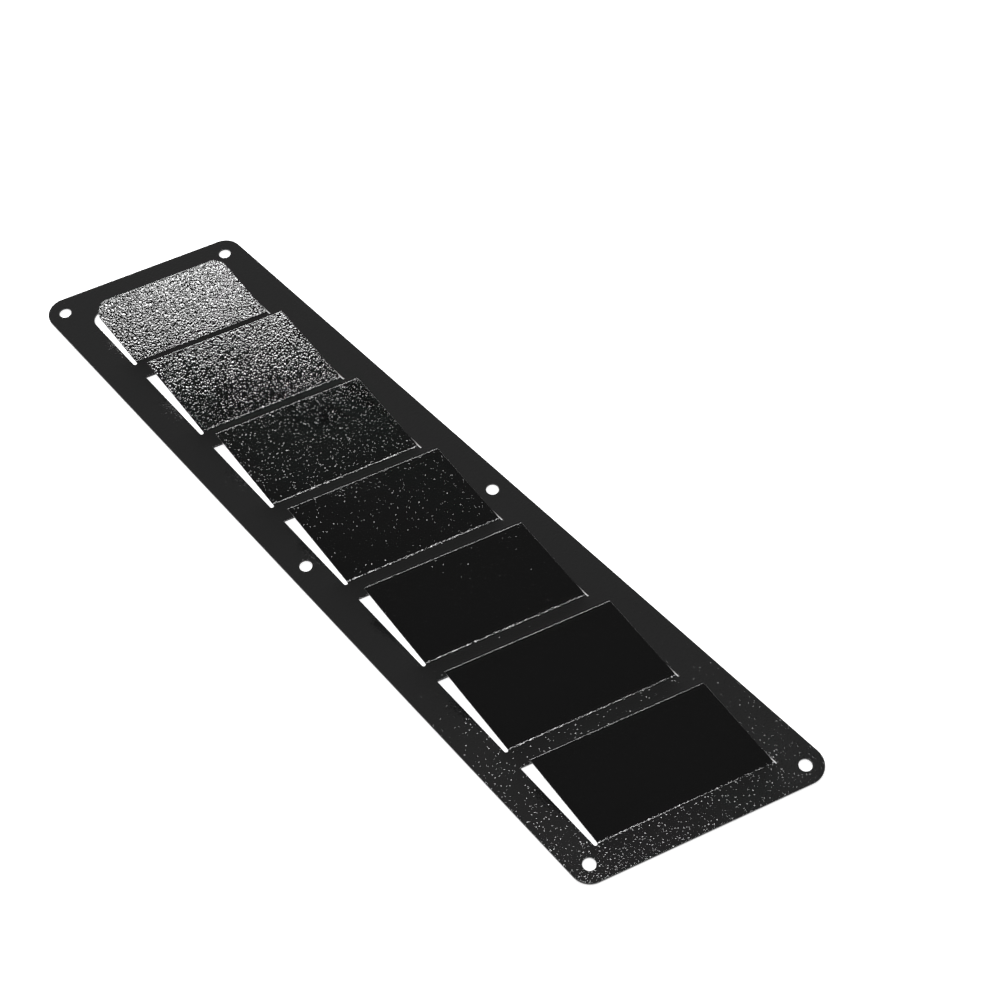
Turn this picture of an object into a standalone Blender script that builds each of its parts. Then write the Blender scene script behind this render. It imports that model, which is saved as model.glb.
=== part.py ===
"""Car bonnet vent: a skewed, tapered sheet whose louvre blades are cut on three sides and folded up.

The sheet is drawn flat, as it leaves the cutter, then it gets its thickness, and then each blade is
folded about its own bend. X runs across the panel, Y along it towards the narrow end, and Z is up,
out of the bonnet. The underside lies on Z = 0, and the origin is in the middle of the panel's outline.
"""

import math

import bmesh
import bpy
from mathutils import Vector
from mathutils.geometry import delaunay_2d_cdt

MM = 0.001

# Sheet
SHEET_THICKNESS = 1.5 * MM
PANEL_LENGTH = 440.0 * MM  # along the centreline
FAR_WIDTH = 106.0 * MM  # across the narrow end's centre
NEAR_WIDTH = 124.5 * MM  # across the wide end's centre
SKEW = math.radians(17.5)  # of the ends, the cuts, the bends and the rows of holes
CORNER_RADIUS = 10.0 * MM

# Fixing holes: one in each corner, and one on each long side near the middle
HOLE_DIAMETER = 6.4 * MM
HOLE_INSET = 9.4 * MM  # from the edges to a hole's centre
MIDDLE_ROW_SHIFT = 2.4 * MM  # from mid length towards the wide end

# Louvres, with lengths along the centreline
LEFT_WEB = 4.4 * MM  # sheet between the holes and the slots beside them
RIGHT_WEB = 5.2 * MM
NEAR_MARGIN = 17.9 * MM  # from the wide end to the first bend
FAR_MARGIN = 17.4 * MM  # from the narrow end to the last slot
BLADE_LENGTH = 48.3 * MM  # from a bend to the far side of its slot, unless the panel ends first
FIRST_BLADE_EXTRA = 1.5 * MM
BRIDGE_LENGTH = 11.7 * MM  # from a slot to the next bend
LEFT_SLOT_WIDTH = 1.9 * MM  # a blade moves to the left as it folds about its skewed bend
RIGHT_SLOT_WIDTH = 0.7 * MM
TIP_SLOT_WIDTH = 1.5 * MM  # between a blade's tip and the panel
LAST_TIP_SLOT_WIDTH = 3.8 * MM
LAST_SLOT_RADIUS = 6.5 * MM  # round the last blade, where the others have square corners
LAST_BLADE_RADIUS = 7.0 * MM

# Bends
BLADE_ANGLE = math.radians(25.0)
BEND_RADIUS = 4.0 * MM  # on the inside of the bend, which is the top face
NEUTRAL_SHARE = 0.4  # of the thickness, from the inside: the layer that keeps its length
SLOT_OVERRUN = 0.3 * MM  # the slots run this far past the bend

# Facets
HOLE_STEPS = 40
CORNER_STEPS = 12
SLOT_END_STEPS = 5  # to each quarter turn
BEND_STEPS = 6

LEFT, RIGHT = -1, 1
SLOT_INSET = {
    LEFT: HOLE_INSET + HOLE_DIAMETER / 2 + LEFT_WEB,
    RIGHT: HOLE_INSET + HOLE_DIAMETER / 2 + RIGHT_WEB,
}
SIDE_SLOT_WIDTH = {LEFT: LEFT_SLOT_WIDTH, RIGHT: RIGHT_SLOT_WIDTH}
SKEW_SLOPE = -math.tan(SKEW)
TAPER_SLOPE = (FAR_WIDTH - NEAR_WIDTH) / 2 / PANEL_LENGTH
SQUARE_TO_BENDS = Vector((math.sin(SKEW), math.cos(SKEW)))
QUARTER_TURN = math.pi / 2
SAME_POINT = 0.0001 * MM
SMOOTH_BELOW = math.radians(30.0)


def spot(side, level, inset):
    """Where the skewed line that crosses the centreline at level meets the line inset from a long edge."""
    half_width = (FAR_WIDTH + NEAR_WIDTH) / 4 + TAPER_SLOPE * level
    x = side * (half_width - inset) / (1 - side * TAPER_SLOPE * SKEW_SLOPE)
    return Vector((x, level + SKEW_SLOPE * x))


def arc(centre, radius, start, sweep, steps):
    angles = [start + sweep * i / steps for i in range(steps + 1)]
    return [centre + radius * Vector((math.cos(a), math.sin(a))) for a in angles]


def rounded(before, corner, after, radius):
    """The corner between two straight edges, as an arc that touches both."""
    if radius == 0:
        return [corner]
    back, onward = (before - corner).normalized(), (after - corner).normalized()
    half = back.angle(onward) / 2
    centre = corner + (back + onward).normalized() * radius / math.sin(half)
    spoke = corner + back * radius / math.tan(half) - centre
    sweep = math.copysign(math.pi - 2 * half, onward.cross(back))
    return arc(centre, radius, math.atan2(spoke.y, spoke.x), sweep, CORNER_STEPS)


def outline():
    end = PANEL_LENGTH / 2
    corners = [spot(LEFT, end, 0), spot(RIGHT, end, 0), spot(RIGHT, -end, 0), spot(LEFT, -end, 0)]
    points = []
    for i, corner in enumerate(corners):
        points += rounded(corners[i - 1], corner, corners[(i + 1) % 4], CORNER_RADIUS)
    return points


def fixing_holes():
    end_row = PANEL_LENGTH / 2 - HOLE_INSET / math.cos(SKEW)
    for level in (end_row, -MIDDLE_ROW_SHIFT, -end_row):
        for side in (LEFT, RIGHT):
            yield arc(spot(side, level, HOLE_INSET), HOLE_DIAMETER / 2, 0, math.tau, HOLE_STEPS)[1:]


class Louvre:
    """One blade: the slot that frees it on three sides, and the bend that raises it."""

    def __init__(self, bend_level, slot_level, tip_slot_width, slot_radius, blade_radius):
        self.slot_level = slot_level
        self.tip_level = slot_level - tip_slot_width / math.cos(SKEW)
        self.slot_radius = slot_radius
        self.blade_radius = blade_radius
        self.bend_start = bend_level - BEND_RADIUS * math.tan(BLADE_ANGLE / 2) / math.cos(SKEW)
        self.bend_length = (BEND_RADIUS + NEUTRAL_SHARE * SHEET_THICKNESS) * BLADE_ANGLE

    def past_start(self, point):
        """How far a point of the flat sheet lies past the start of the bend."""
        return (point - Vector((0, self.bend_start))).dot(SQUARE_TO_BENDS)

    def slot_end(self, side):
        """The centre of the slot's round end, and the direction of its tip."""
        down = (spot(side, -PANEL_LENGTH, 0) - spot(side, PANEL_LENGTH, 0)).normalized()
        radius = SIDE_SLOT_WIDTH[side] / 2
        foot = spot(side, self.bend_start, SLOT_INSET[side] + radius)
        return foot + down * (SLOT_OVERRUN - radius), math.atan2(down.y, down.x)

    def slot(self):
        """The slot's edge on the panel and its edge on the blade, both from left to right."""
        (left, left_tip), (right, right_tip) = self.slot_end(LEFT), self.slot_end(RIGHT)
        panel_side = 0, self.slot_level, self.slot_radius, -QUARTER_TURN
        blade_side = 1, self.tip_level, self.blade_radius, QUARTER_TURN
        edges = []
        for slots, level, radius, turn in (panel_side, blade_side):
            insets = [SLOT_INSET[side] + slots * SIDE_SLOT_WIDTH[side] for side in (LEFT, RIGHT)]
            corners = [spot(LEFT, level, insets[0]), spot(RIGHT, level, insets[1])]
            edge = arc(left, LEFT_SLOT_WIDTH / 2, left_tip, turn, SLOT_END_STEPS)
            edge += rounded(left, *corners, radius)
            edge += rounded(*corners, right, radius)
            edge += arc(right, RIGHT_SLOT_WIDTH / 2, right_tip - turn, turn, SLOT_END_STEPS)
            edges.append(edge)
        on_panel, on_blade = edges
        return on_panel, on_blade[1:-1]

    def with_bend_rows(self, edge):
        """The blade's edge with points where the bend's rows cross it, and the pairs that the rows join."""
        rows = []
        for step in range(BEND_STEPS + 1):
            row = self.bend_length * step / BEND_STEPS
            points, crossings = edge[:1], []
            for a, b in zip(edge, edge[1:]):
                before, after = self.past_start(a) - row, self.past_start(b) - row
                if before * after < 0:
                    crossings.append(a.lerp(b, before / (before - after)))
                    points.append(crossings[-1])
                points.append(b)
            edge = points
            rows.append(crossings)
        return edge, [[edge.index(point) for point in row] for row in rows]

    def fold(self, point):
        """Where a point of the flat blade goes. Z = 0 is the top face, and the point may lie below it."""
        flat = self.past_start(point.xy)
        turned = BLADE_ANGLE * min(max(flat / self.bend_length, 0), 1)
        straight = max(flat - self.bend_length, 0) + min(flat, 0)
        radius = BEND_RADIUS - point.z
        out = radius * math.sin(turned) + straight * math.cos(turned)
        rise = BEND_RADIUS - radius * math.cos(turned) + straight * math.sin(turned)
        return Vector((*(point.xy + SQUARE_TO_BENDS * (out - flat)), rise))


def louvres():
    """As many as the panel takes, from the wide end to the narrow one."""
    pitch = BLADE_LENGTH + BRIDGE_LENGTH
    first_bend = NEAR_MARGIN - PANEL_LENGTH / 2
    first_slot = first_bend + BLADE_LENGTH + FIRST_BLADE_EXTRA
    last_slot = PANEL_LENGTH / 2 - FAR_MARGIN
    slots = [first_slot + i * pitch for i in range(1 + round((last_slot - first_slot) / pitch))]
    bends = [first_bend, *(slot + BRIDGE_LENGTH for slot in slots[:-1])]
    slots[-1] = min(slots[-1], last_slot)
    made = [Louvre(bend, slot, TIP_SLOT_WIDTH, 0, 0) for bend, slot in zip(bends[:-1], slots)]
    made.append(Louvre(bends[-1], slots[-1], LAST_TIP_SLOT_WIDTH, LAST_SLOT_RADIUS, LAST_BLADE_RADIUS))
    return made


def in_sheet(point, loops):
    """Whether a point is inside the outline and outside every hole and slot."""
    inside = False
    for loop in loops:
        for a, b in zip(loop, loop[1:] + loop[:1]):
            if (a.y > point.y) != (b.y > point.y):
                inside ^= point.x < a.x + (b.x - a.x) * (point.y - a.y) / (b.y - a.y)
    return inside


def flat_pattern():
    """Points, triangles, and the louvre that each point folds with, if it is on a blade."""
    loops = [outline(), *fixing_holes()]
    blade_points, rows = {}, []
    for louvre in louvres():
        first = sum(len(loop) for loop in loops)
        on_panel, on_blade = louvre.slot()
        on_blade, pairs = louvre.with_bend_rows(on_blade)
        blade_points |= {first + i: louvre for i in range(len(on_blade))}
        rows += [(first + a, first + b) for a, b in pairs]
        loops.append(on_blade + on_panel[::-1])
    edges = []
    for loop in loops:
        first = len(edges)
        edges += [(first + i, first + (i + 1) % len(loop)) for i in range(len(loop))]
    found = delaunay_2d_cdt(sum(loops, []), edges + rows, [], 0, SAME_POINT)
    points, faces, sources = found[0], found[2], found[3]
    middles = [sum((points[i] for i in face), Vector((0, 0))) / len(face) for face in faces]
    faces = [face for face, middle in zip(faces, middles) if in_sheet(middle, loops)]
    folds_with = [next((blade_points[i] for i in source if i in blade_points), None) for source in sources]
    return points, faces, folds_with


def folded_panel():
    points, faces, folds_with = flat_pattern()
    bm = bmesh.new()
    index = bm.verts.layers.int.new("flat point")
    verts = [bm.verts.new((*point, -SHEET_THICKNESS)) for point in points]
    for i, vert in enumerate(verts):
        vert[index] = i
    for face in faces:
        bm.faces.new([verts[i] for i in face])
    extruded = bmesh.ops.extrude_face_region(bm, geom=bm.faces[:])["geom"]
    top = [element for element in extruded if isinstance(element, bmesh.types.BMVert)]
    bmesh.ops.translate(bm, verts=top, vec=(0, 0, SHEET_THICKNESS))
    for vert in bm.verts:
        louvre = folds_with[vert[index]]
        if louvre:
            vert.co = louvre.fold(vert.co)
    bmesh.ops.recalc_face_normals(bm, faces=bm.faces)
    lows = [min(vert.co[axis] for vert in bm.verts) for axis in range(3)]
    highs = [max(vert.co[axis] for vert in bm.verts) for axis in range(3)]
    centre = (lows[0] + highs[0]) / 2, (lows[1] + highs[1]) / 2, lows[2]
    bmesh.ops.translate(bm, verts=bm.verts, vec=-Vector(centre))
    return bm


def black_powder_coat():
    material = bpy.data.materials.new("black_powder_coat")
    material.use_nodes = True
    shader = material.node_tree.nodes["Principled BSDF"]
    shader.inputs["Base Color"].default_value = (0.018, 0.018, 0.019, 1.0)
    shader.inputs["Metallic"].default_value = 0.0
    shader.inputs["Roughness"].default_value = 0.5
    return material


def main():
    for obj in list(bpy.data.objects):
        bpy.data.objects.remove(obj)
    bm = folded_panel()
    mesh = bpy.data.meshes.new("louvre_panel")
    bm.to_mesh(mesh)
    bm.free()
    mesh.materials.append(black_powder_coat())
    mesh.shade_smooth()
    mesh.set_sharp_from_angle(angle=SMOOTH_BELOW)
    bpy.context.scene.collection.objects.link(bpy.data.objects.new("louvre_panel", mesh))


main()
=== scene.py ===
"""Dresses the folded louvre panel of a car bonnet vent, and sets up its floor, studio light and camera."""

import math

import bmesh
import bpy
from mathutils import Euler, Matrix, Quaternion, Vector


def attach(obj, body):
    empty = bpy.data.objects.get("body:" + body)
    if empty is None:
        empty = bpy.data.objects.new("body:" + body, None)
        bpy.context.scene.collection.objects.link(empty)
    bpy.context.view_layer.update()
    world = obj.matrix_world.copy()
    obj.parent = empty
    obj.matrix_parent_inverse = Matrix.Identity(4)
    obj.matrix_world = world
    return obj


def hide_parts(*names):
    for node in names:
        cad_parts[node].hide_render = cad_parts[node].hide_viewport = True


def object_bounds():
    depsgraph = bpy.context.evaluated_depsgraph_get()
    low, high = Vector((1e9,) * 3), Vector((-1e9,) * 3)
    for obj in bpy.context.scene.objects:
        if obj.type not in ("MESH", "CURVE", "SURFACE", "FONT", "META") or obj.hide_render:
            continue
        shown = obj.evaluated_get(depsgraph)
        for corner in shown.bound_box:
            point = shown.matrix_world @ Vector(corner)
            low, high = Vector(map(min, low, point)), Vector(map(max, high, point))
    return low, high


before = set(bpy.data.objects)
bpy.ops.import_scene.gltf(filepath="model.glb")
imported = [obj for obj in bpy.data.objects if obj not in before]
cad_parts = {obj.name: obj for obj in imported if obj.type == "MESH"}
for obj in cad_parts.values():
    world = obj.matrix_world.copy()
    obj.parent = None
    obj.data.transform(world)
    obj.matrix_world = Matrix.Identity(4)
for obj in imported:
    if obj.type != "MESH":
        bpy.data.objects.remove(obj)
cad_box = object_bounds()

bl_info = {
    "name": "Car bonnet vent",
    "version": (1, 0, 0),
    "blender": (4, 5, 0),
    "location": "3D View > Sidebar > Vent",
    "description": "Builds a powder-coated louvre panel and a studio to show it in",
    "category": "Object",
}

MM = 0.001
PANEL_NODE = "louvre_panel"

COAT_IOR = 1.5
# How far neighbouring domes run together, from 0 to 1
DOME_BLEND = 0.6

# Points of the solid that lie closer together are one point
SAME_POINT = 1e-6
# Faces that meet at a smaller angle are one flat face
FLAT_BELOW = math.radians(0.2)
# Edges that turn further are the sheet's cut edges
ROUNDED_ABOVE = math.radians(30)
EDGE_SEGMENTS = 4
# 50 is neutral, and 100 favours the large faces most
LARGE_FACE_WEIGHT = 100

WHITE = "#ffffff"
PAPER = "#e6e6e6"
# Light added to the paper where it is seen, so that it looks plain white under the lamps
PAPER_GLOW = 0.75
# Light of the tent's cloth, and of the world where it isn't seen
DIM = 0.1
# In mm
SENSOR_WIDTH = 36

# Name, place, aim, size, radiance, and turn about the lamp's own axis in degrees
LAMPS = (
    ("overhead_strip", (0.114, -0.063, 1.2), (0.114, -0.063, 0), (0.52, 0.05), 54, -33),
    ("back_card", (0.8, 2.9, 0.8), (0, 0, 0.01), (2.2, 1.1), 38, 0),
    ("far_card", (0.5, 1.1, 1.6), (0, 0, 0), (2.0, 2.0), 0.14, 0),
)


def linear(code):
    """The linear colour of an sRGB hex value, with alpha."""
    parts = [int(code[i : i + 2], 16) / 255 for i in (1, 3, 5)]
    return [v / 12.92 if v <= 0.04045 else ((v + 0.055) / 1.055) ** 2.4 for v in parts] + [1.0]


class CoatSettings(bpy.types.PropertyGroup):
    """The black powder coat on the sheet."""

    colour: bpy.props.FloatVectorProperty(
        name="Colour", description="Colour of the coat", default=linear("#1b1b1b")[:3], subtype="COLOR"
    )
    roughness: bpy.props.FloatProperty(
        name="Roughness", description="How far the coat spreads a highlight", default=0.08, min=0, max=1
    )
    grain: bpy.props.FloatProperty(
        name="Grain", description="Distance between the coat's domes", default=1.0 * MM, unit="LENGTH"
    )
    height: bpy.props.FloatProperty(
        name="Height", description="Height of a dome one grain wide", default=0.078 * MM, unit="LENGTH"
    )
    nib_spacing: bpy.props.FloatProperty(
        name="Nib spacing", description="Distance between the coat's nibs", default=1.4 * MM, unit="LENGTH"
    )
    nib_radius: bpy.props.FloatProperty(
        name="Nib radius", description="Radius of a nib, as a part of the spacing", default=0.34, min=0, max=1
    )
    nib_slope: bpy.props.FloatProperty(
        name="Nib slope", description="Rise of a nib's flank over its run", default=0.12, min=0, max=1
    )


class PanelSettings(bpy.types.PropertyGroup):
    """The folded sheet."""

    edge: bpy.props.FloatProperty(
        name="Edge", description="Radius of the coat round a cut edge", default=0.3 * MM, unit="LENGTH"
    )


class StudioSettings(bpy.types.PropertyGroup):
    """Floor, tent and camera."""

    floor: bpy.props.FloatProperty(
        name="Floor", description="Side of the square floor", default=12.0, unit="LENGTH"
    )
    tent: bpy.props.FloatProperty(
        name="Tent", description="Height of the dark tent over the floor", default=3.4, unit="LENGTH"
    )
    lens: bpy.props.FloatProperty(
        name="Lens", description="Focal length, in mm", default=67.2266, unit="CAMERA"
    )
    place: bpy.props.FloatVectorProperty(
        name="Camera place",
        description="Where the camera stands",
        default=(-0.261345, -0.402812, 0.7996),
        subtype="TRANSLATION",
    )
    turn: bpy.props.FloatVectorProperty(
        name="Camera turn",
        description="How the camera is turned",
        default=[math.radians(v) for v in (31.4115199, 1.9625757, -42.3000047)],
        subtype="EULER",
    )


def add_node(tree, kind, values=None, links=None, **settings):
    """Adds a node, with its settings, the values of its sockets and the links into them."""
    node = tree.nodes.new(kind)
    for name, value in settings.items():
        setattr(node, name, value)
    for socket, value in (values or {}).items():
        node.inputs[socket].default_value = value
    for socket, source in (links or {}).items():
        tree.links.new(source, node.inputs[socket])
    return node


def new_material(name):
    """An empty node material."""
    material = bpy.data.materials.new(name)
    material.use_nodes = True
    material.node_tree.nodes.clear()
    return material


def powder_coat(coat):
    """Textured black powder coat, sprayed and baked: a hard glossy skin of small domes. They break the
    highlight of a lamp into a worm-like grain, and steeper nibs among them send back sparse glints beside
    it. Its domes are drawn a little coarser than the real ones, so that each one shows."""
    material = new_material("textured_black_powder_coat")
    tree = material.node_tree
    place = add_node(tree, "ShaderNodeTexCoord").outputs["Object"]
    domes = add_node(
        tree,
        "ShaderNodeTexVoronoi",
        {"Scale": 1 / coat.grain, "Smoothness": DOME_BLEND},
        {"Vector": place},
        feature="SMOOTH_F1",
    )
    nibs = add_node(tree, "ShaderNodeTexVoronoi", {"Scale": 1 / coat.nib_spacing}, {"Vector": place})
    capped = add_node(
        tree, "ShaderNodeMath", {1: coat.nib_radius}, {0: nibs.outputs["Distance"]}, operation="MINIMUM"
    )
    depth = add_node(
        tree,
        "ShaderNodeMath",
        {1: coat.nib_slope * coat.nib_spacing / coat.height},
        {0: capped.outputs[0], 2: domes.outputs["Distance"]},
        operation="MULTIPLY_ADD",
    )
    relief = add_node(
        tree,
        "ShaderNodeBump",
        {"Strength": 1.0, "Distance": coat.height},
        {"Height": depth.outputs[0]},
        invert=True,
    )
    skin = add_node(
        tree,
        "ShaderNodeBsdfPrincipled",
        {"Base Color": [*coat.colour, 1.0], "Roughness": coat.roughness, "IOR": COAT_IOR},
        {"Normal": relief.outputs["Normal"]},
    )
    add_node(tree, "ShaderNodeOutputMaterial", links={"Surface": skin.outputs["BSDF"]})
    return material


def sight(tree):
    """The output that is 1 for the rays that see the background, straight, mirrored or through glass."""
    path = add_node(tree, "ShaderNodeLightPath")
    seen = path.outputs["Is Camera Ray"]
    for name in ("Is Glossy Ray", "Is Transmission Ray"):
        both = add_node(tree, "ShaderNodeMath", links={0: seen, 1: path.outputs[name]}, operation="MAXIMUM")
        seen = both.outputs[0]
    return seen


def white_paper():
    """Matt white paper, with a glow where it is seen. Near the object the two together are plain white,
    also in its shadow."""
    material = new_material("white_paper")
    tree = material.node_tree
    paper = add_node(tree, "ShaderNodeBsdfDiffuse", {"Color": linear(PAPER)})
    glow = add_node(tree, "ShaderNodeEmission", {"Color": linear(WHITE), "Strength": PAPER_GLOW})
    both = add_node(tree, "ShaderNodeAddShader", links={0: paper.outputs[0], 1: glow.outputs[0]})
    shown = add_node(
        tree, "ShaderNodeMixShader", links={0: sight(tree), 1: paper.outputs[0], 2: both.outputs[0]}
    )
    add_node(tree, "ShaderNodeOutputMaterial", links={"Surface": shown.outputs[0]})
    return material


def tent_cloth():
    """Dark cloth of the studio's tent, which keeps white out of what the black coat mirrors."""
    material = new_material("tent_cloth")
    tree = material.node_tree
    cloth = add_node(tree, "ShaderNodeEmission", {"Color": linear(WHITE), "Strength": DIM})
    add_node(tree, "ShaderNodeOutputMaterial", links={"Surface": cloth.outputs[0]})
    return material


def white_world():
    """A world that is plain white where it is seen, and gives only dim light elsewhere."""
    world = bpy.data.worlds.new("studio")
    world.use_nodes = True
    tree = world.node_tree
    tree.nodes.clear()
    dim = add_node(tree, "ShaderNodeBackground", {"Color": linear(WHITE), "Strength": DIM})
    white = add_node(tree, "ShaderNodeBackground", {"Color": linear(WHITE), "Strength": 1.0})
    shown = add_node(
        tree, "ShaderNodeMixShader", links={0: sight(tree), 1: dim.outputs[0], 2: white.outputs[0]}
    )
    add_node(tree, "ShaderNodeOutputWorld", links={"Surface": shown.outputs[0]})
    return world


def stage_mesh(name, corners, faces, material):
    """A plain mesh of the stage, which isn't part of the object."""
    mesh = bpy.data.meshes.new(name)
    mesh.from_pydata(corners, [], faces)
    mesh.materials.append(material)
    piece = bpy.data.objects.new(name, mesh)
    bpy.context.scene.collection.objects.link(piece)
    return piece


def softbox(name, place, aim, size, radiance, turn):
    """A rectangular lamp of an even radiance, which the camera doesn't see."""
    data = bpy.data.lights.new(name, "AREA")
    data.shape = "RECTANGLE"
    data.size, data.size_y = size
    data.energy = radiance * math.pi * size[0] * size[1]
    lamp = bpy.data.objects.new(name, data)
    lamp.location = place
    facing = (Vector(place) - Vector(aim)).to_track_quat("Z", "Y")
    lamp.rotation_euler = (facing @ Quaternion((0, 0, 1), math.radians(turn))).to_euler()
    lamp.visible_camera = False
    bpy.context.scene.collection.objects.link(lamp)


class VENT_OT_panel(bpy.types.Operator):
    """Makes the folded sheet with its coat round every edge."""

    bl_idname = "vent.panel"
    bl_label = "Louvre panel"

    def execute(self, context):
        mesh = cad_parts[PANEL_NODE].data.copy()
        mesh.name = "coated_panel"
        build = bmesh.new()
        build.from_mesh(mesh)
        bmesh.ops.remove_doubles(build, verts=build.verts, dist=SAME_POINT)
        bmesh.ops.dissolve_limit(build, angle_limit=FLAT_BELOW, verts=build.verts, edges=build.edges)
        for face in build.faces:
            face.smooth = True
        build.to_mesh(mesh)
        build.free()
        mesh.materials.clear()
        mesh.materials.append(powder_coat(context.scene.vent_coat))
        panel = bpy.data.objects.new("coated_panel", mesh)
        context.scene.collection.objects.link(panel)
        edge = panel.modifiers.new("edge", "BEVEL")
        edge.width = context.scene.vent_panel.edge
        edge.segments = EDGE_SEGMENTS
        edge.limit_method = "ANGLE"
        edge.angle_limit = ROUNDED_ABOVE
        edge.use_clamp_overlap = False
        edge.loop_slide = False
        flats = panel.modifiers.new("flats", "WEIGHTED_NORMAL")
        flats.mode = "FACE_AREA"
        flats.weight = LARGE_FACE_WEIGHT
        flats.keep_sharp = False
        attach(panel, "root")
        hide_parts(PANEL_NODE)
        return {"FINISHED"}


class VENT_OT_stage(bpy.types.Operator):
    """Sets up the floor, the tent, the lamps, the world and the camera."""

    bl_idname = "vent.stage"
    bl_label = "Studio"

    def execute(self, context):
        scene = context.scene
        studio = scene.vent_studio
        half = studio.floor / 2
        low = cad_box[0][2]
        ring = [(-half, -half), (half, -half), (half, half), (-half, half)]
        base = [(x, y, low) for x, y in ring]
        top = [(x, y, studio.tent) for x, y in ring]
        stage_mesh("floor", base, [(0, 1, 2, 3)], white_paper())
        walls = [(i, (i + 1) % 4, (i + 1) % 4 + 4, i + 4) for i in range(4)]
        tent = stage_mesh("tent", base + top, [*walls, (7, 6, 5, 4)], tent_cloth())
        tent.visible_camera = False
        for lamp in LAMPS:
            softbox(*lamp)
        scene.world = white_world()
        data = bpy.data.cameras.new("camera")
        data.lens = studio.lens
        data.sensor_width = SENSOR_WIDTH
        camera = bpy.data.objects.new("camera", data)
        camera.location = studio.place
        camera.rotation_euler = Euler(studio.turn)
        scene.collection.objects.link(camera)
        scene.camera = camera
        scene.view_settings.view_transform = "Standard"
        return {"FINISHED"}


class VENT_PT_sidebar(bpy.types.Panel):
    """The vent's settings and operators."""

    bl_label = "Bonnet vent"
    bl_space_type = "VIEW_3D"
    bl_region_type = "UI"
    bl_category = "Vent"

    def draw(self, context):
        for group, operator in SIDEBAR:
            settings = getattr(context.scene, group)
            for name in settings.__annotations__:
                self.layout.prop(settings, name)
            if operator:
                self.layout.operator(operator)


SIDEBAR = (("vent_coat", None), ("vent_panel", "vent.panel"), ("vent_studio", "vent.stage"))
GROUPS = {"vent_coat": CoatSettings, "vent_panel": PanelSettings, "vent_studio": StudioSettings}
CLASSES = (*GROUPS.values(), VENT_OT_panel, VENT_OT_stage, VENT_PT_sidebar)


def register():
    """Registers the classes and the scene's settings."""
    for cls in CLASSES:
        bpy.utils.register_class(cls)
    for name, group in GROUPS.items():
        setattr(bpy.types.Scene, name, bpy.props.PointerProperty(type=group))


def unregister():
    """Takes back what register did."""
    for name in GROUPS:
        delattr(bpy.types.Scene, name)
    for cls in reversed(CLASSES):
        bpy.utils.unregister_class(cls)


def main():
    """Builds everything."""
    register()
    bpy.ops.vent.panel()
    bpy.ops.vent.stage()


if __name__ == "__main__":
    main()
